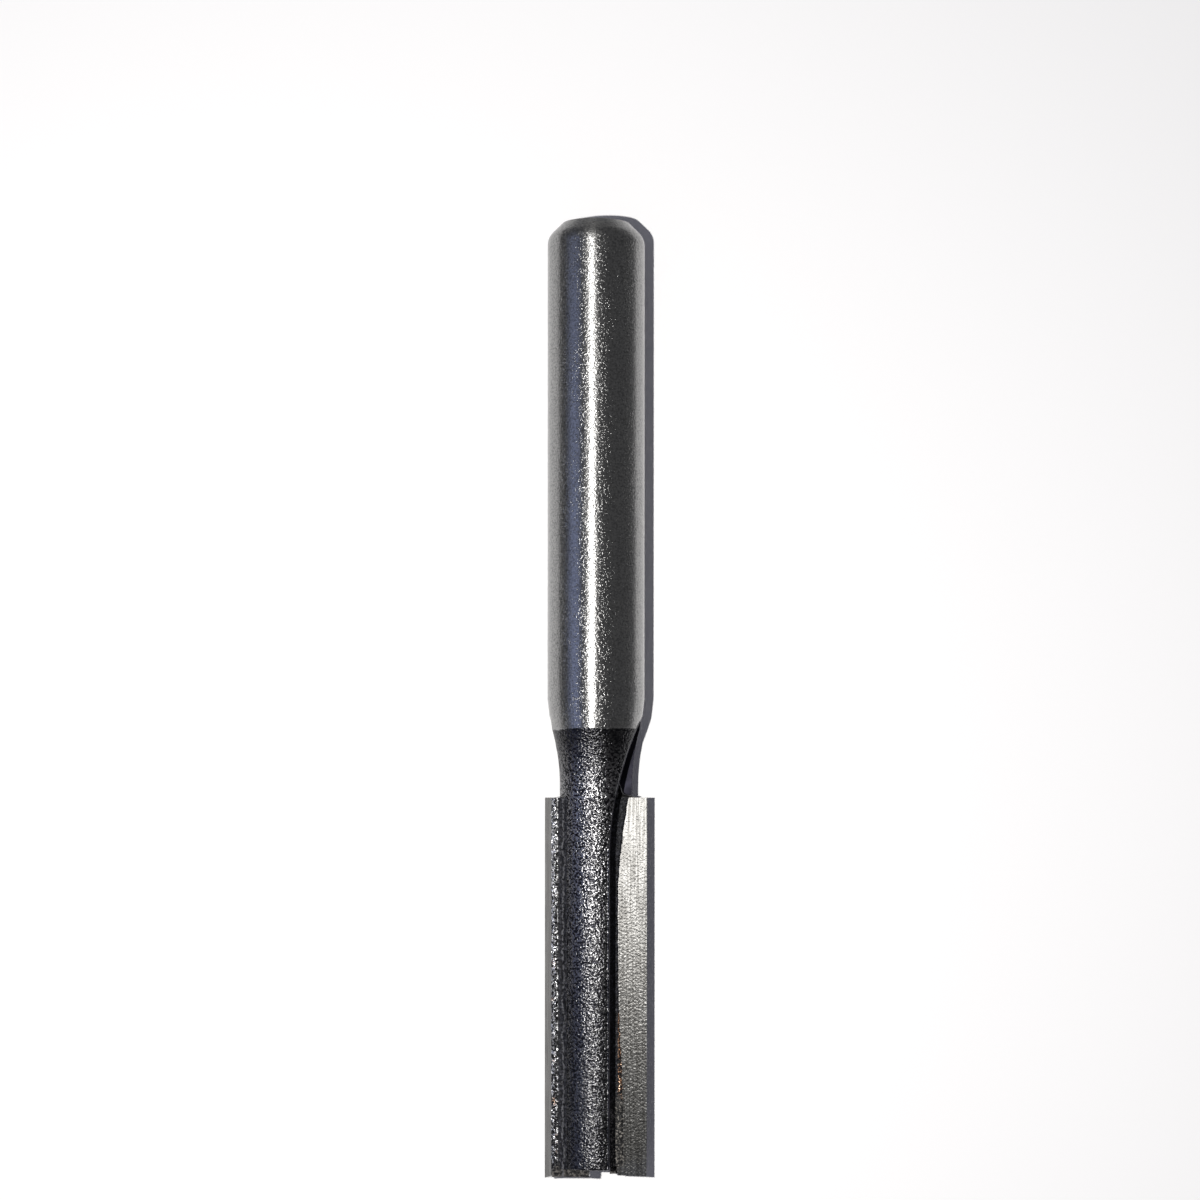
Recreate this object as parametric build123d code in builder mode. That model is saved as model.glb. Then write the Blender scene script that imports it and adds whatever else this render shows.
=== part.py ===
"""Two-flute straight router bit: a turned and milled steel bar with two brazed carbide tips.

The bit lies along Y, its shank towards +Y and its cutting end towards -Y, with +Z up. The origin
is on the axis, where the ground shank ends and its taper begins. Millimetres and degrees.
"""
from build123d import *

import os
from math import radians, sqrt, tan

os.makedirs("parts", exist_ok=True)

# Shank
shank_diameter = 8.0
shank_length = 39.2
shank_chamfer = 1.25
shank_shoulder_round = 1.4
shank_rim_round = 0.2

# Taper, and the slimmer core that is the neck and then carries the tips
taper_length = 2.45
taper_drop = 0.28
core_diameter = 6.2
core_blend_radius = 18.0
core_end_round = 0.15

# Flutes
flute_wall_offset = 1.2
flute_floor_depth = 1.0
flute_cutter_radius = 28.0
flute_runout_length = 5.1

# Carbide tips
cutting_diameter = 8.4
tip_top_y = -8.1
tip_length = 31.3
tip_thickness = 1.3
tip_overhang = 0.9
rake_offset = 0.35
side_relief = 25.5
end_relief = 13.0
dish_angle = 2.2
toe_reach = 0.45
toe_length = 2.6

# Braze
braze_gap = 0.1
braze_coat = 0.06
braze_heel_bead = 0.4
braze_back_fillet = 0.4
braze_fillet_sag = 0.08
braze_bead_bulge = 0.07
braze_meniscus = 0.3
braze_web_radius = 1.1
braze_web_drop = 0.12

# How far a cutting tool's path runs past the metal it removes
overrun = 1.0

shank_radius = shank_diameter / 2
core_radius = core_diameter / 2
cutting_radius = cutting_diameter / 2

tip_end_y = tip_top_y - tip_length
steel_end_y = tip_end_y + tip_overhang
braze_length = tip_top_y - steel_end_y

# Heights above the bit's axis, in the frame of the tip they belong to
rake_z = -rake_offset
tip_back_z = rake_z - tip_thickness
seat_z = tip_back_z - braze_gap
flute_floor_z = -flute_floor_depth

# Distances from the axis, across the bit
edge_x = sqrt(cutting_radius**2 - rake_offset**2)
heel_x = edge_x - tip_thickness * tan(radians(side_relief))
outside_x = cutting_radius + overrun
runout_y = tip_top_y - flute_runout_length


def wall_x_at(y):
    """Where the flute's wall stands at a height y: straight, then following the cutter's rim."""
    rise = max(0.0, y - runout_y)
    return flute_wall_offset + flute_cutter_radius - sqrt(flute_cutter_radius**2 - rise**2)


def wall_y_at(x):
    """Where the cutter's rim leaves the flute's wall at a distance x from the axis."""
    reach = flute_cutter_radius - (x - flute_wall_offset)
    return runout_y + sqrt(flute_cutter_radius**2 - reach**2)


tip_inner_x = wall_x_at(tip_top_y) + braze_gap
notch_x = toe_reach - braze_gap
notch_top_z = rake_z + braze_gap
notch_depth = toe_length - tip_overhang + braze_gap


def plan_plane(side, z):
    """Looking down on a tip's rake face: side 1 is the first tip, side -1 the one half a turn on."""
    return Plane(origin=(0, 0, side * z), x_dir=(side, 0, 0), z_dir=(0, 0, side))


def section_plane(side, y):
    """Across the bit at a height y, its normal pointing to the cutting end."""
    return Plane(origin=(0, y, 0), x_dir=(side, 0, 0), z_dir=(0, -1, 0))


def pocket_outline(side, floor_z, top_y):
    """The ground that a cutter covers from the flute's wall outwards, on floor_z and up to top_y."""
    straight_end = (flute_wall_offset, runout_y)
    runout_end = (wall_x_at(top_y), top_y)
    with BuildSketch(plan_plane(side, floor_z)) as outline:
        with BuildLine():
            Polyline(
                straight_end,
                (flute_wall_offset, steel_end_y - overrun),
                (outside_x + overrun, steel_end_y - overrun),
                (outside_x + overrun, top_y),
                runout_end,
            )
            RadiusArc(straight_end, runout_end, flute_cutter_radius)
        make_face()
    return outline.sketch


def notch_section(side):
    """The notch in the bar's end that holds a tip's toe, drawn on the end face."""
    with BuildSketch(section_plane(side, steel_end_y)) as section:
        with Locations(((notch_x + flute_wall_offset) / 2, (seat_z + notch_top_z) / 2)):
            Rectangle(flute_wall_offset - notch_x, notch_top_z - seat_z)
    return section.sketch


# ---------------------------------------------------------------------------- body
taper_end = (shank_radius - taper_drop, -taper_length)
blend_drop = taper_end[0] - core_radius
blend_end = (core_radius, taper_end[1] - sqrt(2 * core_blend_radius * blend_drop - blend_drop**2))

with BuildPart() as body:
    # The bar as it leaves the lathe
    with BuildSketch(Plane.XY) as profile:
        with BuildLine():
            Polyline(
                blend_end,
                (core_radius, steel_end_y),
                (0, steel_end_y),
                (0, shank_length),
                (shank_radius, shank_length),
                (shank_radius, 0),
                taper_end,
            )
            TangentArc(blend_end, taper_end, tangent=(0, 1))
        make_face()
        end_corner = profile.vertices().sort_by_distance((core_radius, steel_end_y))[0]
        fillet(end_corner, radius=core_end_round)
        shank_corner = profile.vertices().sort_by_distance((shank_radius, shank_length))[0]
        chamfer(shank_corner, length=shank_chamfer)
        chamfer_rim = profile.vertices().sort_by_distance((shank_radius - shank_chamfer, shank_length))[0]
        fillet(chamfer_rim, radius=shank_rim_round)
        chamfer_foot = profile.vertices().sort_by_distance((shank_radius, shank_length - shank_chamfer))[0]
        fillet(chamfer_foot, radius=shank_shoulder_round)
    revolve(axis=Axis.Y)

    # Each flute, run out through the neck, and the deeper seat that its tip is brazed into
    for side in (1, -1):
        flute = pocket_outline(side, flute_floor_z, wall_y_at(outside_x))
        seat = pocket_outline(side, seat_z, tip_top_y)
        extrude(flute, amount=outside_x, mode=Mode.SUBTRACT)
        extrude(seat, amount=outside_x, mode=Mode.SUBTRACT)

    extrude(notch_section(-1), amount=-notch_depth, mode=Mode.SUBTRACT)

body.part.label = "body"
export_step(body.part, "parts/body.step")


# ---------------------------------------------------------------------------- tips
def make_tip(side, with_toe):
    """A carbide plate with its rake face on rake_z, ground with side relief, end relief and dish."""
    with BuildPart() as tip:
        with BuildSketch(section_plane(side, tip_top_y)):
            with BuildLine():
                Polyline(
                    (tip_inner_x, rake_z),
                    (edge_x, rake_z),
                    (heel_x, tip_back_z),
                    (tip_inner_x, tip_back_z),
                    close=True,
                )
            make_face()
        extrude(amount=tip_length)

        if with_toe:
            with BuildSketch(section_plane(side, tip_end_y + toe_length)):
                with Locations(((toe_reach + tip_inner_x) / 2, (rake_z + tip_back_z) / 2)):
                    Rectangle(tip_inner_x - toe_reach, tip_thickness)
            extrude(amount=toe_length)

        # The end is ground from the cutting corner: hollow towards the axis, falling away behind
        end_normal = (side * tan(radians(dish_angle)), 1, side * tan(radians(end_relief)))
        end_plane = Plane(origin=(side * edge_x, tip_end_y, side * rake_z), z_dir=end_normal)
        split(bisect_by=end_plane, keep=Keep.TOP)
    return tip


tip_a = make_tip(1, with_toe=False)
tip_a.part.label = "tip_a"
export_step(tip_a.part, "parts/tip_a.step")

tip_b = make_tip(-1, with_toe=True)
tip_b.part.label = "tip_b"
export_step(tip_b.part, "parts/tip_b.step")


# ---------------------------------------------------------------------------- braze
def make_braze(side, tip, with_toe):
    """The braze under and beside a tip, with its fillets, its heel bead and its web above the tip."""
    wall_top = (flute_wall_offset, rake_z + braze_meniscus)
    rake_corner = (tip_inner_x, rake_z)
    seat_corner = (flute_wall_offset, seat_z)

    # Where the fillet behind the tip meets the core, on its round, and where it ends on the tip
    fillet_root_z = seat_z - braze_back_fillet
    fillet_root = (sqrt(core_radius**2 - fillet_root_z**2), fillet_root_z)
    coat_z = tip_back_z - braze_coat
    fillet_foot = (sqrt(core_radius**2 - seat_z**2) + braze_back_fillet, coat_z)
    bead_foot = (heel_x - braze_heel_bead, coat_z)

    # The web's concave edge, from the tip's upper end to the flute's wall
    web_outer = (wall_x_at(tip_top_y) + braze_web_radius, tip_top_y)
    web_upper_y = tip_top_y + braze_web_radius
    web_upper = (wall_x_at(web_upper_y), web_upper_y)

    with BuildPart() as braze:
        with BuildSketch(section_plane(side, tip_top_y)):
            with BuildLine():
                Polyline(wall_top, seat_corner, (fillet_root[0], seat_z), fillet_root)
                SagittaArc(fillet_root, fillet_foot, braze_fillet_sag)
                Line(fillet_foot, bead_foot)
                SagittaArc(bead_foot, (heel_x, tip_back_z), -braze_bead_bulge)
                Polyline((heel_x, tip_back_z), (tip_inner_x, tip_back_z), rake_corner)
                SagittaArc(rake_corner, wall_top, braze_fillet_sag)
            make_face()
        extrude(amount=braze_length)

        with BuildSketch(plan_plane(side, flute_floor_z)):
            with BuildLine():
                Polyline(
                    web_outer,
                    (flute_wall_offset, tip_top_y),
                    (flute_wall_offset, web_upper_y),
                    web_upper,
                )
                RadiusArc(web_outer, web_upper, braze_web_radius)
            make_face()
        extrude(amount=rake_z - braze_web_drop - flute_floor_z)

        if with_toe:
            extrude(notch_section(side), amount=-notch_depth)

        add(body.part, mode=Mode.SUBTRACT)
        add(tip.part, mode=Mode.SUBTRACT)
    return braze


braze_a = make_braze(1, tip_a, with_toe=False)
braze_a.part.label = "braze_a"
export_step(braze_a.part, "parts/braze_a.step")

braze_b = make_braze(-1, tip_b, with_toe=True)
braze_b.part.label = "braze_b"
export_step(braze_b.part, "parts/braze_b.step")
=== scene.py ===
"""Looks of the straight router bit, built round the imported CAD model.

Sizes are in millimetres until a mesh is made, where MM turns them into metres. The bit lies along Y
with its shank towards +Y. Each flute has its own frame: side 1 is the first tip's, and side -1 is the
same frame after half a turn about Y.
"""

import math

import bmesh
import bpy
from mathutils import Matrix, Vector, noise


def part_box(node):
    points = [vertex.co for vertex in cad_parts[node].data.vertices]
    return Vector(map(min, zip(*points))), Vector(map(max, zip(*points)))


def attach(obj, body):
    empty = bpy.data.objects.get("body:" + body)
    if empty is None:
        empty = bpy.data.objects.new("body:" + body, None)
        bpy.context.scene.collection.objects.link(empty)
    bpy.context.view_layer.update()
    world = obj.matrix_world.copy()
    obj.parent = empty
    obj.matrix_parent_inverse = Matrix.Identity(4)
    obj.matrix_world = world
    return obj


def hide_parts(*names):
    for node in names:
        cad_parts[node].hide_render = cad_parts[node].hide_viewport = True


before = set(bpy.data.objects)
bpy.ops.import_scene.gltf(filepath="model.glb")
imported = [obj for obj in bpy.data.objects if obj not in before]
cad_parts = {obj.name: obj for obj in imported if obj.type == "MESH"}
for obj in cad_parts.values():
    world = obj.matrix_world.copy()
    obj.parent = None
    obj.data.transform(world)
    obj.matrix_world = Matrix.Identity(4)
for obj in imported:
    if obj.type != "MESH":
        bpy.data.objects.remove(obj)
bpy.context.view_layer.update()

MM = 0.001
SIDES = {"a": 1, "b": -1}

# ------------------------------------------------------------------ sizes read from the frame, in mm
body_low, body_high = (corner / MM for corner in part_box("body"))
tip_low, tip_high = (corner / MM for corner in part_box("tip_a"))

shank_radius = body_high.z
shank_length = body_high.y
steel_end_y = body_low.y
edge_x = tip_high.x
tip_inner_x = tip_low.x
rake_z = tip_high.z
tip_back_z = tip_low.z
tip_top_y = tip_high.y
tip_end_y = tip_low.y

# ------------------------------------------------------------------ the bar's own sizes, in mm
shank_chamfer = 1.25
shank_shoulder_round = 1.4
shank_rim_round = 0.2
taper_length = 2.45
taper_drop = 0.28
core_radius = 3.1
core_blend_radius = 18.0
core_end_round = 0.15
flute_wall_offset = 1.2
flute_floor_z = -1.0
flute_cutter_radius = 28.0
flute_runout_length = 5.1
seat_z = tip_back_z - 0.1
notch_x = 0.35
notch_top_z = rake_z + 0.1
notch_depth = 1.8
side_relief_reach = 0.62
heel_x = edge_x - side_relief_reach

runout_y = tip_top_y - flute_runout_length
lathe_segments = 144
feed_pitch = 0.2
coat_top_y = -2.12
coat_edge_y = -2.42
feed_depth = 0.006
edge_break = 0.035
tip_edge_break = 0.02

# How far a cutting tool's path runs past the metal it removes, and how far two cuts overlap
overrun = 1.0
cut_overlap = 0.05

# Which faces count as turned: those that look straight out, at the turned radius or nearly
turned_outward = 0.9
turned_depth = 0.1


def wall_x_at(y):
    """Where the flute's wall stands at a height y."""
    rise = max(0.0, y - runout_y)
    return flute_wall_offset + flute_cutter_radius - math.sqrt(flute_cutter_radius**2 - rise**2)


def wall_y_at(x):
    """Where the cutter's rim leaves the flute's wall at a distance x from the axis."""
    reach = flute_cutter_radius - (x - flute_wall_offset)
    return runout_y + math.sqrt(flute_cutter_radius**2 - reach**2)


# ------------------------------------------------------------------ mesh helpers
def new_object(name, bm, smooth_angle=35):
    """A mesh object from bm, given in mm, shaded smooth but for edges sharper than smooth_angle."""
    bmesh.ops.recalc_face_normals(bm, faces=bm.faces)
    bm.verts.ensure_lookup_table()
    bmesh.ops.scale(bm, vec=(MM, MM, MM), verts=bm.verts)
    mesh = bpy.data.meshes.new(name)
    bm.to_mesh(mesh)
    bm.free()
    obj = bpy.data.objects.new(name, mesh)
    bpy.context.scene.collection.objects.link(obj)
    shade(obj, smooth_angle)
    return obj


def shade(obj, smooth_angle=35):
    """Smooth faces, with edges sharper than smooth_angle kept crisp."""
    bm = bmesh.new()
    bm.from_mesh(obj.data)
    limit = math.radians(smooth_angle)
    for face in bm.faces:
        face.smooth = True
    for edge in bm.edges:
        edge.smooth = edge.is_manifold and edge.calc_face_angle(0) < limit
    bm.to_mesh(obj.data)
    bm.free()


def bake_modifiers(obj):
    """Puts what the modifiers make into the mesh itself, and removes them."""
    evaluated = obj.evaluated_get(bpy.context.evaluated_depsgraph_get())
    mesh = bpy.data.meshes.new_from_object(evaluated)
    obj.modifiers.clear()
    old = obj.data
    obj.data = mesh
    bpy.data.meshes.remove(old)


def turned(point, side):
    """A point of a flute's own frame, in the bit's frame."""
    x, y, z = point
    return Vector((side * x, y, side * z))


def prism(outline, low_z, high_z, side):
    """A cutter with the outline (x, y) of a flute's own frame, from low_z to high_z."""
    bm = bmesh.new()
    low = [bm.verts.new(turned((x, y, low_z), side)) for x, y in outline]
    high = [bm.verts.new(turned((x, y, high_z), side)) for x, y in outline]
    bm.faces.new(low)
    bm.faces.new(high)
    count = len(outline)
    for i in range(count):
        j = (i + 1) % count
        bm.faces.new((low[i], low[j], high[j], high[i]))
    return new_object("cutter", bm)


def cut(obj, cutter):
    """Takes the cutter's solid out of obj."""
    boolean = obj.modifiers.new("cut", "BOOLEAN")
    boolean.operation = "DIFFERENCE"
    boolean.solver = "EXACT"
    boolean.object = cutter
    bake_modifiers(obj)
    bpy.data.objects.remove(cutter)


# ------------------------------------------------------------------ the steel bar
def rounded_corner(before, corner, after, radius, steps=5):
    """Points of a round of that radius between the lines before-corner and corner-after."""
    a = (Vector(before) - Vector(corner)).normalized()
    b = (Vector(after) - Vector(corner)).normalized()
    half = a.angle(b) / 2
    centre = Vector(corner) + (a + b).normalized() * radius / math.sin(half)
    first = Vector(corner) + a * radius / math.tan(half) - centre
    last = Vector(corner) + b * radius / math.tan(half) - centre
    return [tuple(centre + first.slerp(last, i / steps) * radius) for i in range(steps + 1)]


def bar_profile():
    """The turned outline as (r, y), from the shank's free end to the cutting end."""
    face_rim = (shank_radius - shank_chamfer, shank_length)
    chamfer_foot = (shank_radius, shank_length - shank_chamfer)
    taper_end = (shank_radius - taper_drop, -taper_length)
    points = rounded_corner((0, shank_length), face_rim, chamfer_foot, shank_rim_round)
    points += rounded_corner(face_rim, chamfer_foot, (shank_radius, 0), shank_shoulder_round, 12)
    points += [(shank_radius, shank_length * i / 8) for i in range(7, -1, -1)]
    points += [(shank_radius - taper_drop / 2, -taper_length / 2), taper_end]

    last_y = steel_end_y + core_end_round
    rings = round((-taper_length - last_y) / (feed_pitch / 2))
    for i in range(1, rings):
        y = -taper_length + (last_y + taper_length) * i / rings
        points.append((turned_radius(y) - feed_depth * (i % 2), y))
    end_corner = (core_radius, steel_end_y)
    points += rounded_corner((core_radius, last_y + 1), end_corner, (0, steel_end_y), core_end_round)
    return points


def turned_radius(y):
    """The bar's radius at a height y below the taper, before any milling."""
    taper_end = shank_radius - taper_drop
    blend_drop = taper_end - core_radius
    blend_length = math.sqrt(2 * core_blend_radius * blend_drop - blend_drop**2)
    above = min(blend_length, max(0.0, y + taper_length + blend_length))
    return core_radius + core_blend_radius - math.sqrt(core_blend_radius**2 - above**2)


def lathe(profile, segments):
    """The profile turned about the Y axis, closed at both ends."""
    bm = bmesh.new()
    rings = []
    for radius, y in profile:
        turn = [2 * math.pi * i / segments for i in range(segments)]
        rings.append([bm.verts.new((radius * math.sin(a), y, radius * math.cos(a))) for a in turn])
    for upper, lower in zip(rings, rings[1:]):
        for i in range(segments):
            j = (i + 1) % segments
            bm.faces.new((upper[i], upper[j], lower[j], lower[i]))
    bm.faces.new(rings[0])
    bm.faces.new(rings[-1])
    return bm


def make_bar():
    """The whole steel bar, with both flutes, both seats and the notch for the longer tip's toe."""
    bar = new_object("steel_bar", lathe(bar_profile(), lathe_segments))
    beyond_x = edge_x + 2 * overrun
    below_y = steel_end_y - overrun
    steps = 24
    for side in SIDES.values():
        for floor_z, top_y in ((flute_floor_z, wall_y_at(edge_x + overrun)), (seat_z, tip_top_y)):
            rise = [runout_y + (top_y - runout_y) * i / steps for i in range(steps + 1)]
            outline = [(wall_x_at(y), y) for y in rise]
            outline += [(beyond_x, top_y), (beyond_x, below_y), (flute_wall_offset, below_y)]
            cut(bar, prism(outline, floor_z, edge_x + overrun, side))
    notch_end_x = flute_wall_offset + cut_overlap
    notch_top_y = steel_end_y + notch_depth
    notch = [(notch_x, below_y), (notch_end_x, below_y), (notch_end_x, notch_top_y), (notch_x, notch_top_y)]
    cut(bar, prism(notch, seat_z, notch_top_z, -1))
    return bar


def mark_faces(bar):
    """Material slots by face: 0 for the ground shank, 1 for the coated neck and core, 2 where milled."""
    for face in bar.data.polygons:
        x, y, z = face.center / MM
        across = max(0.001, math.hypot(x, z))
        outward = (face.normal.x * x + face.normal.z * z) / across
        inside = outward < turned_outward or across < turned_radius(y) - turned_depth
        milled = inside and y < 0 and abs(face.normal.y) < 0.5
        coated = y < coat_top_y
        face.material_index = 2 if milled else int(coated)


def break_edges(obj, width, angle=35, segments=2):
    """A small round on every edge sharper than angle."""
    bevel = obj.modifiers.new("edge_break", "BEVEL")
    bevel.width = width * MM
    bevel.segments = segments
    bevel.limit_method = "ANGLE"
    bevel.angle_limit = math.radians(angle)
    bevel.use_clamp_overlap = False
    bevel.harden_normals = True


# ------------------------------------------------------------------ braze
copper_from_y = -26.5
flux_from_y = -32.9
bead_width = 0.5
meniscus = 0.3
back_fillet = 0.4
back_coat = 0.06
web_upper_y = -6.9

# How far to the left of the axis the painted reflection runs: a light line, as of the horizon mirrored in
# the turned core, down the braze and flux
reflection_line_x = 2.58


def ruffle(point, size, seed):
    """Smooth noise, about -1 to 1, with features of that size in mm."""
    return noise.noise(Vector(point) / size + Vector((seed, 0.37 * seed, 1.9 * seed)))


def eased(value, low, high):
    """0 below low, 1 above high and a smooth rise between."""
    t = min(1.0, max(0.0, (value - low) / (high - low)))
    return t * t * (3 - 2 * t)


def rake_reach(y, seed):
    """How far from the axis the braze and its flux cover the rake face at y."""
    wedge = 0.87 * max(0.0, (y + 16.0) / (tip_top_y + 16.0)) ** 1.6
    crust = 0.45 * eased(-y, 22.0, 36.0)
    return tip_inner_x + 0.06 + wedge + crust + 0.07 * ruffle((0, y, 0), 0.7, seed)


def braze_section(y, side):
    """The braze's outline (x, z) across the bit at y, in the flute's frame, lumpy where it shows."""
    seed = 11.0 * side

    def lump(x, z, amount):
        coarse = ruffle((x, y, z), 0.5, seed)
        fine = ruffle((x, y, z), 0.17, seed + 5)
        return amount * (0.55 * coarse + 0.6 * fine)

    wall_x = wall_x_at(y) - 0.01
    section = [(wall_x, rake_z + meniscus + lump(wall_x, rake_z, 0.08)), (wall_x, seat_z)]
    root_z = seat_z - back_fillet
    root = (math.sqrt(core_radius**2 - root_z**2) - 0.06, root_z)
    section += [(root[0], seat_z), root]
    foot = (math.sqrt(core_radius**2 - seat_z**2) + back_fillet, tip_back_z - back_coat)
    for i in range(1, 9):
        t = i / 8
        sag = 0.34 * t * (1 - t)
        x = root[0] + (foot[0] - root[0]) * t - 0.2 * sag
        z = root[1] + (foot[1] - root[1]) * t + sag
        ridge = 0.13 * math.exp(-((t - 0.3) / 0.14) ** 2) * (1 + ruffle((0, y, 0), 0.9, seed + 8))
        section.append((x, z - abs(lump(x, z, 0.08)) - ridge))
    bead_start = heel_x - bead_width
    for i in range(1, 13):
        t = i / 12
        x = bead_start + (heel_x - bead_start) * t
        swell = math.sin(math.pi * t) * (0.12 + lump(x, tip_back_z, 0.26))
        section.append((x, tip_back_z - 0.04 * (1 - t) - max(0.0, swell)))
    section += [(tip_inner_x, tip_back_z), (tip_inner_x, rake_z - 0.02)]
    reach = rake_reach(y, seed)
    for i in range(0, 13):
        t = i / 12
        x = reach + (wall_x - reach) * t
        rise = 0.05 * min(1.0, 6 * t) + 0.25 * t**2.6
        crusted = 0.12 + 0.14 * eased(-y, -flux_from_y, -flux_from_y + 1)
        rough = min(1.0, 4 * t) * abs(lump(x, rake_z, crusted))
        section.append((x, rake_z - 0.005 + rise + rough))
    return section[:-1]


def loft(name, rings, smooth_angle=60):
    """A closed mesh through rings of as many points each."""
    bm = bmesh.new()
    rings = [[bm.verts.new(point) for point in ring] for ring in rings]
    for upper, lower in zip(rings, rings[1:]):
        for i in range(len(upper)):
            j = (i + 1) % len(upper)
            bm.faces.new((upper[i], upper[j], lower[j], lower[i]))
    bm.faces.new(rings[0])
    bm.faces.new(rings[-1])
    bmesh.ops.triangulate(bm, faces=[f for f in bm.faces if len(f.verts) > 4])
    return new_object(name, bm, smooth_angle)


def make_braze(letter):
    """The braze round one tip, as it ran and set."""
    side = SIDES[letter]
    length = tip_top_y - steel_end_y
    steps = round(length / 0.07)
    rings = []
    for i in range(steps + 1):
        y = tip_top_y - length * i / steps
        rings.append([turned((x, y, z), side) for x, z in braze_section(y, side)])
    return loft(f"braze_{letter}_set", rings)


def make_web(letter):
    """The hollow web of braze between the tip's upper end and the flute's wall, with its thin rim."""
    side = SIDES[letter]
    start = Vector((3.2, tip_top_y + 0.05))
    end = Vector((wall_x_at(web_upper_y) + 0.02, web_upper_y))
    corner = Vector((wall_x_at(tip_top_y) - 0.05, tip_top_y - 0.12))
    foot_z = flute_floor_z - 0.05
    rim = [(0.0, -0.08), (0.04, 0.01), (0.09, 0.03), (0.14, 0.0)]
    rim += [(0.24, -0.13), (0.5, -0.22), (0.98, -0.16)]
    rings = []
    steps = 28
    for i in range(steps + 1):
        t = i / steps
        chord = start.lerp(end, t)
        sagged = chord.lerp(corner, 0.34 * math.sin(math.pi * t))
        wave = 0.03 * ruffle((sagged.x, sagged.y, 0), 0.4, 3.0 * side)
        top = rake_z - 0.08 + 0.16 * t + wave
        ring = [(sagged.lerp(corner, across), top + rise) for across, rise in rim]
        ring = [(sagged, foot_z), *ring, (corner, foot_z)]
        rings.append([turned((place.x, place.y, z), side) for place, z in ring])
    return loft(f"braze_{letter}_web", rings, 40)


def flux_lump(name, side, low, high, base_z, thickness, seed, thin_to_x=0.0):
    """A crust of burnt flux over the rectangle low..high (x, y), standing thickness out from base_z.

    From the axis as far as thin_to_x it is only a film.
    """
    across, along = 44, 24
    rim_z = base_z - 0.02 * math.copysign(1, thickness)
    rings = []
    for i in range(along + 1):
        v = i / along
        y = low[1] + (high[1] - low[1]) * v
        ring = []
        for j in range(across + 1):
            u = j / across
            x = low[0] + (high[0] - low[0]) * u
            dome = min(1.0, 5 * math.sin(math.pi * u)) * min(1.0, 0.25 + 4 * math.sin(math.pi * v))
            dome *= 0.3 + 0.7 * eased(x, thin_to_x - 0.15, thin_to_x)
            coarse = ruffle((x, y, base_z), 0.3, seed)
            fine = ruffle((x, y, base_z), 0.14, seed)
            rough = 0.75 + 0.6 * coarse + 0.5 * fine
            drift = 0.05 * ruffle((x, y, 0), 0.5, seed + 2)
            ring.append((x + drift, y + drift, base_z + thickness * dome * rough))
        ring += [(high[0], y, rim_z), (low[0], y, rim_z)]
        rings.append([turned(point, side) for point in ring])
    return loft(name, rings)


def make_flux():
    """The lumps of flux at the bit's end: behind the longer tip, and inside the first tip."""
    behind = flux_lump(
        "flux_behind_b",
        side=-1,
        low=(0.5, tip_end_y + 0.22),
        high=(heel_x - 0.08, steel_end_y + 0.25),
        base_z=tip_back_z,
        thickness=-0.13,
        seed=4.0,
        thin_to_x=1.3,
    )
    inside = flux_lump(
        "flux_inside_a",
        side=1,
        low=(flute_wall_offset - 0.08, tip_end_y + 0.2),
        high=(tip_inner_x + 0.35, steel_end_y + 0.2),
        base_z=rake_z - 0.35,
        thickness=0.38,
        seed=9.0,
    )
    return behind, inside


# ------------------------------------------------------------------ node helpers
def material(name):
    """A new material: its node tree, emptied but for a Principled shader, and the shader."""
    made = bpy.data.materials.new(name)
    made.use_nodes = True
    tree = made.node_tree
    return made, tree, tree.nodes["Principled BSDF"]


def give(tree, node, inputs):
    """Each input of the node by its name or number: linked to another node's output, or set."""
    for name, value in inputs.items():
        if isinstance(value, bpy.types.NodeSocket):
            tree.links.new(value, node.inputs[name])
        else:
            node.inputs[name].default_value = value


def add(tree, kind, inputs=None, **settings):
    """A node of that kind, with its settings made and its inputs set or linked."""
    made = tree.nodes.new(kind)
    for name, value in settings.items():
        setattr(made, name, value)
    give(tree, made, inputs or {})
    return made


def math_node(tree, operation, a, b=0.0):
    """The result of that operation on a and b."""
    return add(tree, "ShaderNodeMath", {0: a, 1: b}, operation=operation).outputs[0]


def stretched(tree, scale):
    """Object coordinates times scale, in features per mm along each axis."""
    place = add(tree, "ShaderNodeTexCoord").outputs["Object"]
    factor = tuple(s / MM for s in scale)
    return add(tree, "ShaderNodeVectorMath", {0: place, 1: factor}, operation="MULTIPLY").outputs[0]


def noise_of(tree, scale, detail=2.0, roughness=0.5):
    """Noise with scale features per mm along each axis."""
    vector = stretched(tree, scale)
    inputs = {"Vector": vector, "Scale": 1.0, "Detail": detail, "Roughness": roughness}
    return add(tree, "ShaderNodeTexNoise", inputs).outputs["Fac"]


def ramp(tree, value, stops):
    """A colour ramp with stops of (position, grey or colour)."""
    made = add(tree, "ShaderNodeValToRGB", {"Fac": value})
    elements = made.color_ramp.elements
    while len(elements) < len(stops):
        elements.new(0.5)
    for element, (position, colour) in zip(elements, stops):
        element.position = position
        if not isinstance(colour, tuple):
            colour = (colour, colour, colour)
        element.color = (*colour, 1)
    return made.outputs["Color"]


def between(tree, value, low, high):
    """value, mapped from low..high to 0..1 and clamped."""
    inputs = {"Value": value, "From Min": low, "From Max": high}
    return add(tree, "ShaderNodeMapRange", inputs).outputs["Result"]


def mix_number(tree, factor, a, b):
    """a where factor is 0, b where it is 1."""
    return add(tree, "ShaderNodeMix", {0: factor, 2: a, 3: b}, data_type="FLOAT").outputs[0]


def mix_colour(tree, factor, a, b):
    """As mix_number, for colours. A colour is a node's output or (red, green, blue)."""
    a, b = ((*colour, 1) if isinstance(colour, tuple) else colour for colour in (a, b))
    return add(tree, "ShaderNodeMix", {0: factor, 6: a, 7: b}, data_type="RGBA").outputs[2]


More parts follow.
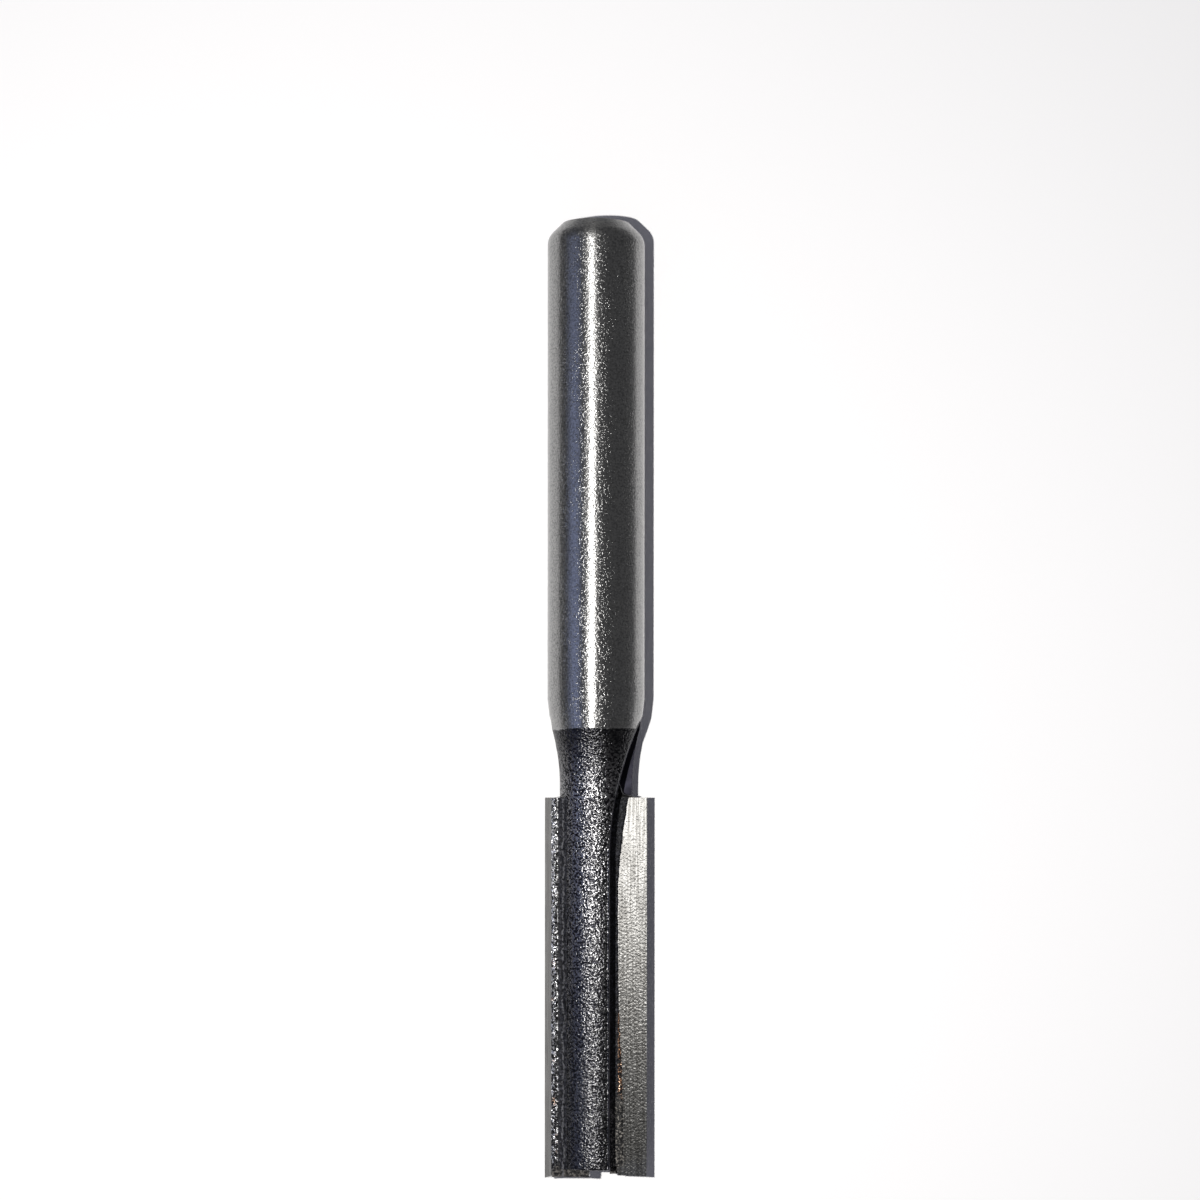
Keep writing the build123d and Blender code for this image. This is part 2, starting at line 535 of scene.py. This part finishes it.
def position_of(tree, axis):
    """The surface point's coordinate along X, Y or Z, in mm."""
    place = add(tree, "ShaderNodeTexCoord").outputs["Object"]
    parts = add(tree, "ShaderNodeSeparateXYZ", {0: place})
    return math_node(tree, "DIVIDE", parts.outputs[axis], MM)


def bump(tree, shader, height, distance):
    """Bump of that height map, distance in mm from black to white."""
    made = add(tree, "ShaderNodeBump", {"Height": height, "Distance": distance * MM})
    tree.links.new(made.outputs["Normal"], shader.inputs["Normal"])


# ------------------------------------------------------------------ materials
# The greys, colours and gloss below were matched to the photograph.
def rough_along(tree, shader, direction, amount):
    """Spreads the gloss along that direction, as grinding marks square to it do."""
    shader.inputs["Anisotropic"].default_value = amount
    tangent = add(tree, "ShaderNodeCombineXYZ", dict(zip("XYZ", direction)))
    tree.links.new(tangent.outputs[0], shader.inputs["Tangent"])


def ground_steel():
    """Bright steel, cylindrically ground: fine marks around it, a torn grain that glitters."""
    made, tree, shader = material("ground_steel")
    shader.inputs["Metallic"].default_value = 1.0
    rough_along(tree, shader, (0, 1, 0), 0.9)
    grain = noise_of(tree, (0.25, 9.0, 0.25), detail=4, roughness=0.6)
    speckle = noise_of(tree, (6.2, 6.8, 6.2), detail=1.2)
    patch = noise_of(tree, (0.5, 0.2, 0.5), detail=3)
    bright = mix_colour(tree, patch, (0.29, 0.29, 0.29), (0.34, 0.338, 0.332))
    colour = mix_colour(tree, ramp(tree, speckle, [(0.3, 0.0), (0.6, 1.0)]), (0.17, 0.17, 0.17), bright)
    tree.links.new(colour, shader.inputs["Base Color"])
    tree.links.new(mix_number(tree, grain, 0.29, 0.34), shader.inputs["Roughness"])
    pits = ramp(tree, noise_of(tree, (5.6, 6.2, 5.6), detail=2), [(0.56, 1.0), (0.7, 0.0)])
    torn = mix_number(tree, ramp(tree, patch, [(0.4, 0.0), (0.6, 1.0)]), 0.8, 1.2)
    height = math_node(tree, "ADD", math_node(tree, "MULTIPLY", speckle, 1.3), pits)
    height = math_node(tree, "MULTIPLY", height, torn)
    height = math_node(tree, "ADD", height, math_node(tree, "MULTIPLY", grain, 0.1))
    bump(tree, shader, height, 0.0115)
    return made


def coated_steel():
    """A blue-black coating over turning marks, rough enough to glitter, with its ragged upper edge.

    It is darkest in the neck. Below that its colour darkens towards the cutting end, a painted shade that
    stands in for the highlight fading away from the lamp.
    """
    made, tree, shader = material("coated_steel")
    shader.inputs["Metallic"].default_value = 1.0
    wobble = noise_of(tree, (0.55, 0.9, 0.55), detail=4, roughness=0.6)
    lift = math_node(tree, "MULTIPLY", math_node(tree, "SUBTRACT", wobble, 0.5), 0.9)
    lean = math_node(tree, "MULTIPLY", position_of(tree, "X"), 0.035)
    edge = math_node(tree, "SUBTRACT", math_node(tree, "ADD", position_of(tree, "Y"), lift), lean)
    coated = between(tree, edge, coat_edge_y + 0.05, coat_edge_y - 0.05)

    speckle = noise_of(tree, (5.3, 6.0, 5.3), detail=1.5, roughness=0.5)
    feed = noise_of(tree, (0.6, 5.0, 0.6), detail=2)
    cloud = noise_of(tree, (0.8, 0.4, 0.8), detail=3)
    black = mix_colour(tree, cloud, (0.2, 0.199, 0.205), (0.28, 0.278, 0.285))
    down = between(tree, position_of(tree, "Y"), 0.0, -38.0)
    # Painted shade along the bit: darkest in the neck, then darker towards the cutting end, as the
    # highlight fades away from the lamp.
    falloff_shade = ramp(tree, down, [(0.09, 0.22), (0.2, 1.0), (0.47, 0.72), (0.65, 0.48), (0.97, 0.34)])
    black = mix_colour(tree, falloff_shade, (0.0, 0.0, 0.0), black)
    raised = ramp(tree, speckle, [(0.43, 0.0), (0.55, 1.0)])
    black = mix_colour(tree, raised, (0.016, 0.016, 0.019), black)
    tree.links.new(mix_colour(tree, coated, (0.3, 0.3, 0.3), black), shader.inputs["Base Color"])
    tree.links.new(mix_number(tree, cloud, 0.24, 0.29), shader.inputs["Roughness"])
    height = math_node(tree, "ADD", speckle, math_node(tree, "MULTIPLY", feed, 0.4))
    height = math_node(tree, "MULTIPLY", height, mix_number(tree, coated, 0.4, 1.0))
    bump(tree, shader, height, 0.09)
    return made


def milled_steel():
    """The coating over the flutes' milled faces, dull, and painted far darker than the coat elsewhere:
    painted shade in the flutes.
    """
    made, tree, shader = material("milled_steel")
    shader.inputs["Metallic"].default_value = 1.0
    along = noise_of(tree, (6.0, 0.5, 6.0), detail=4, roughness=0.6)
    cloud = noise_of(tree, (1.2, 1.2, 1.2), detail=4)
    # Painted shade: a colour far darker than the turned coat's, so the flutes look shaded.
    colour = ramp(tree, cloud, [(0.3, (0.018, 0.018, 0.024)), (0.7, (0.045, 0.044, 0.06))])
    tree.links.new(colour, shader.inputs["Base Color"])
    tree.links.new(mix_number(tree, along, 0.58, 0.72), shader.inputs["Roughness"])
    bump(tree, shader, along, 0.015)
    return made


def carbide():
    """Ground carbide, streaked along its length, with painted shade on its end faces: they are nearly
    black, which keeps the mirrored paper off them.
    """
    made, tree, shader = material("carbide")
    shader.inputs["Metallic"].default_value = 1.0
    rough_along(tree, shader, (1, 0, 0), 0.97)
    streak = noise_of(tree, (9.0, 0.25, 9.0), detail=2, roughness=0.5)
    speckle = noise_of(tree, (6.8, 5.6, 6.8), detail=1.5)
    cloud = noise_of(tree, (0.7, 0.25, 0.7), detail=3)
    grey = mix_colour(tree, cloud, (0.16, 0.158, 0.152), (0.195, 0.194, 0.191))
    grey = mix_colour(tree, ramp(tree, streak, [(0.4, 1.0), (0.6, 0.0)]), grey, (0.1, 0.098, 0.094))
    normal = add(tree, "ShaderNodeNewGeometry").outputs["True Normal"]
    facing = add(tree, "ShaderNodeSeparateXYZ", {0: normal})
    endwise = between(tree, math_node(tree, "ABSOLUTE", facing.outputs["Y"]), 0.8, 0.9)
    flat = between(tree, math_node(tree, "ABSOLUTE", facing.outputs["Z"]), 0.8, 0.95)
    # Painted shade: faces that look along the bit are made nearly black, so they don't mirror the paper.
    tree.links.new(mix_colour(tree, endwise, grey, (0.035, 0.035, 0.04)), shader.inputs["Base Color"])
    polished = mix_number(tree, speckle, 0.2, 0.3)
    tree.links.new(mix_number(tree, flat, polished, 0.42), shader.inputs["Roughness"])
    height = math_node(tree, "ADD", math_node(tree, "MULTIPLY", streak, 0.3), speckle)
    height = math_node(tree, "MULTIPLY", height, mix_number(tree, flat, 0.3, 1.0))
    bump(tree, shader, height, 0.0165)
    return made


# Grey of the painted reflection line down the left of the core.
reflection_line_grey = (0.13, 0.13, 0.14)


def painted_reflection_line(tree, speckle):
    """A broken, wandering light line down the left of the core: a painted reflection, as of the horizon
    mirrored in the turned core.
    """
    wander = noise_of(tree, (0.0, 0.55, 0.0), detail=3, roughness=0.6)
    wander = math_node(tree, "MULTIPLY", math_node(tree, "SUBTRACT", wander, 0.5), 0.9)
    aside = math_node(tree, "ADD", position_of(tree, "X"), reflection_line_x)
    aside = math_node(tree, "ADD", aside, wander)
    line = between(tree, math_node(tree, "ABSOLUTE", aside), 0.12, 0.03)
    return math_node(tree, "MULTIPLY", line, between(tree, speckle, 0.4, 0.55))


def braze_metal():
    """Silver braze where it beads at the heel, copper low on the rake side, burnt flux elsewhere.

    Below the copper the flux on the rake side is veined with grey.
    """
    made, tree, shader = material("braze_metal")
    shader.inputs["Specular IOR Level"].default_value = 0.2
    speckle = noise_of(tree, (5.0, 4.5, 5.0), detail=2, roughness=0.7)
    patch = noise_of(tree, (1.3, 0.8, 1.3), detail=4, roughness=0.6)
    silver_stops = [(0.35, (0.45, 0.45, 0.46)), (0.6, (0.6, 0.6, 0.61)), (0.68, (0.5, 0.33, 0.24))]
    copper_stops = [(0.4, (0.1, 0.05, 0.03)), (0.56, (0.4, 0.2, 0.1)), (0.7, (0.8, 0.7, 0.55))]
    silver = ramp(tree, patch, silver_stops)
    copper = ramp(tree, speckle, copper_stops)
    x = math_node(tree, "ABSOLUTE", position_of(tree, "X"))
    y = math_node(tree, "ADD", position_of(tree, "Y"), math_node(tree, "MULTIPLY", patch, 2.5))
    z = math_node(tree, "ABSOLUTE", position_of(tree, "Z"))
    rake_side = between(tree, z, 1.0, 0.9)
    ragged = math_node(tree, "ADD", x, math_node(tree, "MULTIPLY", speckle, 0.3))
    bead_x = heel_x - bead_width
    bead = between(tree, ragged, bead_x + 0.1, bead_x + 0.18)
    below_top = between(tree, y, copper_from_y + 2.0, copper_from_y + 1.0)
    above_end = between(tree, y, flux_from_y + 1.0, flux_from_y + 1.5)
    outer = between(tree, x, tip_inner_x + 0.02, tip_inner_x + 0.08)
    copper_run = math_node(tree, "MULTIPLY", below_top, above_end)
    copper_run = math_node(tree, "MULTIPLY", copper_run, outer)
    bare = mix_number(tree, rake_side, bead, copper_run)
    lower_half = between(tree, position_of(tree, "Y"), -20.0, -34.0)
    sparse = math_node(tree, "MULTIPLY", lower_half, 0.05)
    spots = between(tree, math_node(tree, "SUBTRACT", speckle, sparse), 0.47, 0.53)
    bare = math_node(tree, "MULTIPLY", bare, spots)
    metal = mix_colour(tree, rake_side, silver, copper)
    flux_stops = [(0.42, (0.002, 0.002, 0.003)), (0.56, (0.012, 0.013, 0.018)), (0.68, (0.06, 0.06, 0.07))]
    vein_stops = [(0.44, (0.01, 0.01, 0.011)), (0.53, (0.035, 0.033, 0.031)), (0.62, (0.26, 0.245, 0.22))]
    black = ramp(tree, speckle, flux_stops)
    # Painted reflection: a light line down the left of the core.
    black = mix_colour(tree, painted_reflection_line(tree, speckle), black, reflection_line_grey)
    veins = ramp(tree, speckle, vein_stops)
    in_flux = between(tree, y, flux_from_y + 1.5, flux_from_y + 0.7)
    low_down = math_node(tree, "MULTIPLY", rake_side, in_flux)
    black = mix_colour(tree, low_down, black, veins)
    tree.links.new(mix_colour(tree, bare, black, metal), shader.inputs["Base Color"])
    tree.links.new(bare, shader.inputs["Metallic"])
    flux_rough = mix_number(tree, patch, 0.3, 0.6)
    tree.links.new(mix_number(tree, bare, flux_rough, 0.28), shader.inputs["Roughness"])
    bump(tree, shader, speckle, 0.11)
    return made


def thin_braze():
    """The dull skin of the webs, where little metal ran."""
    made, tree, shader = material("thin_braze")
    shader.inputs["Metallic"].default_value = 1.0
    speckle = noise_of(tree, (5.0, 5.0, 5.0), detail=2, roughness=0.7)
    colour = ramp(tree, speckle, [(0.35, (0.08, 0.08, 0.085)), (0.7, (0.26, 0.26, 0.265))])
    tree.links.new(colour, shader.inputs["Base Color"])
    tree.links.new(mix_number(tree, speckle, 0.4, 0.55), shader.inputs["Roughness"])
    bump(tree, shader, speckle, 0.03)
    return made


def burnt_flux():
    """Black glassy flux, grey-brown on its crests."""
    made, tree, shader = material("burnt_flux")
    speckle = noise_of(tree, (5.0, 5.0, 5.0), detail=4, roughness=0.7)
    shader.inputs["Specular IOR Level"].default_value = 0.3
    stops = [(0.4, (0.004, 0.004, 0.005)), (0.5, (0.018, 0.017, 0.016)), (0.6, (0.14, 0.13, 0.12))]
    colour = ramp(tree, speckle, stops)
    # Painted reflection: a light line down the left of the core.
    colour = mix_colour(tree, painted_reflection_line(tree, speckle), colour, reflection_line_grey)
    tree.links.new(colour, shader.inputs["Base Color"])
    tree.links.new(mix_number(tree, speckle, 0.25, 0.55), shader.inputs["Roughness"])
    bump(tree, shader, speckle, 0.13)
    return made


def paper(lit_gain):
    """White paper. What the camera and mirrors see of it is lit_gain times brighter."""
    made, tree, shader = material("paper")
    tree.nodes.remove(shader)
    path = add(tree, "ShaderNodeLightPath").outputs
    seen = math_node(tree, "MAXIMUM", path["Is Camera Ray"], path["Is Glossy Ray"])
    seen = math_node(tree, "MAXIMUM", seen, path["Is Transmission Ray"])
    gain = mix_number(tree, seen, 1.0, lit_gain)
    white = add(tree, "ShaderNodeVectorMath", {0: (0.8, 0.8, 0.8), "Scale": gain}, operation="SCALE")
    diffuse = add(tree, "ShaderNodeBsdfDiffuse", {"Color": white.outputs[0]})
    tree.links.new(diffuse.outputs[0], tree.nodes["Material Output"].inputs["Surface"])
    return made


# ------------------------------------------------------------------ the object
def dress():
    """Stands the bar, the braze and the flux in their places, and gives the tips their carbide."""
    bar = make_bar()
    for finish in (ground_steel(), coated_steel(), milled_steel()):
        bar.data.materials.append(finish)
    mark_faces(bar)
    shade(bar, 30)
    break_edges(bar, edge_break, angle=40)
    bake_modifiers(bar)
    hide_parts("body")
    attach(bar, "root")

    ground_carbide = carbide()
    for letter in SIDES:
        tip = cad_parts[f"tip_{letter}"]
        tip.data.materials.clear()
        tip.data.materials.append(ground_carbide)
        break_edges(tip, tip_edge_break, angle=20, segments=1)

    thick, thin = braze_metal(), thin_braze()
    for letter in SIDES:
        for piece, finish in ((make_braze(letter), thick), (make_web(letter), thin)):
            piece.data.materials.append(finish)
            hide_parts(f"braze_{letter}")
            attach(piece, "root")

    flux = burnt_flux()
    for piece in make_flux():
        piece.data.materials.append(flux)
        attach(piece, "root")


# ------------------------------------------------------------------ stage, light and camera
def canopy():
    """A dark box with a bluish window low on its left wall, which stands in for a dark room.

    It stands close round the bit, open below, and the camera, shadows and diffuse light don't meet it.
    Mirrored and refracted rays do, so it hides the white world from them: the metal mirrors this box
    and the paper. The dark and bluish bands along the shank come from here, not from the material.
    """
    low = Vector((-62.0, -95.0, -shank_radius))
    high = Vector((19.0, 52.0, 330.0))
    window_low, window_high, window_edge = 33.0, 84.0, 9.0
    wall_grey, window_blue = (0.14, 0.14, 0.145), (0.52, 0.6, 0.93)
    bm = bmesh.new()
    bmesh.ops.create_cube(bm, size=1)
    bmesh.ops.scale(bm, vec=high - low, verts=bm.verts)
    bmesh.ops.translate(bm, vec=(high + low) / 2, verts=bm.verts)
    bmesh.ops.delete(bm, geom=[face for face in bm.faces if face.normal.z < -0.5], context="FACES_ONLY")
    room = new_object("canopy", bm)
    made, tree, shader = material("canopy")
    tree.nodes.remove(shader)
    x, z = position_of(tree, "X"), position_of(tree, "Z")
    rising = between(tree, z, window_low - window_edge, window_low + window_edge)
    falling = between(tree, z, window_high + window_edge, window_high - window_edge)
    left_wall = between(tree, x, low.x + 1.0, low.x + 0.1)
    window = math_node(tree, "MULTIPLY", math_node(tree, "MULTIPLY", rising, falling), left_wall)
    colour = mix_colour(tree, window, wall_grey, window_blue)
    glow = add(tree, "ShaderNodeEmission", {"Color": colour})
    tree.links.new(glow.outputs[0], tree.nodes["Material Output"].inputs["Surface"])
    room.data.materials.append(made)
    room.visible_camera = False
    room.visible_shadow = False
    room.visible_diffuse = False


def stage():
    """White paper for the bit to lie on, one small hard lamp near above it and the room's own light.

    The lamp is a few millimetres across, because the photograph's shadow has a sharp edge.
    """
    floor_half_width = 2500
    lamp_place = Vector((-27.0, -8.0, 210.0))
    lamp_radius = 2.0
    bm = bmesh.new()
    bmesh.ops.create_grid(bm, x_segments=1, y_segments=1, size=floor_half_width)
    floor = new_object("paper", bm)
    floor.location.z = -shank_radius * MM
    floor.data.materials.append(paper(lit_gain=1.27))
    canopy()

    lamp = bpy.data.lights.new("key", "POINT")
    lamp.energy = 1.75
    lamp.shadow_soft_size = lamp_radius * MM
    lamp.color = (1.0, 0.985, 0.96)
    key = bpy.data.objects.new("key", lamp)
    bpy.context.scene.collection.objects.link(key)
    key.location = lamp_place * MM

    world = bpy.data.worlds.new("room")
    bpy.context.scene.world = world
    world.use_nodes = True
    tree = world.node_tree
    path = add(tree, "ShaderNodeLightPath").outputs
    white = math_node(tree, "MAXIMUM", path["Is Camera Ray"], path["Is Glossy Ray"])
    white = math_node(tree, "MAXIMUM", white, path["Is Transmission Ray"])
    room_light = mix_colour(tree, white, (0.125, 0.126, 0.15), (1.0, 1.0, 1.0))
    tree.links.new(room_light, tree.nodes["Background"].inputs["Color"])


def camera():
    """The photograph's view: straight down, with the bit off to one side of the lens's axis."""
    lens = bpy.data.cameras.new("camera")
    height, seen_width = 239.0, 98.97
    stand = Vector((12.0, -8.3, height))
    centre = Vector((0.33, 8.2, 0.0))
    lens.sensor_width = 36.0
    lens.lens = lens.sensor_width * height / seen_width
    lens.shift_x = (centre.x - stand.x) / seen_width
    lens.shift_y = (centre.y - stand.y) / seen_width
    lens.clip_start = 0.01
    obj = bpy.data.objects.new("camera", lens)
    bpy.context.scene.collection.objects.link(obj)
    obj.location = stand * MM
    obj.rotation_euler = (0, 0, math.radians(0.03))
    bpy.context.scene.camera = obj


dress()
stage()
camera()
bpy.context.scene.view_settings.view_transform = "Standard"
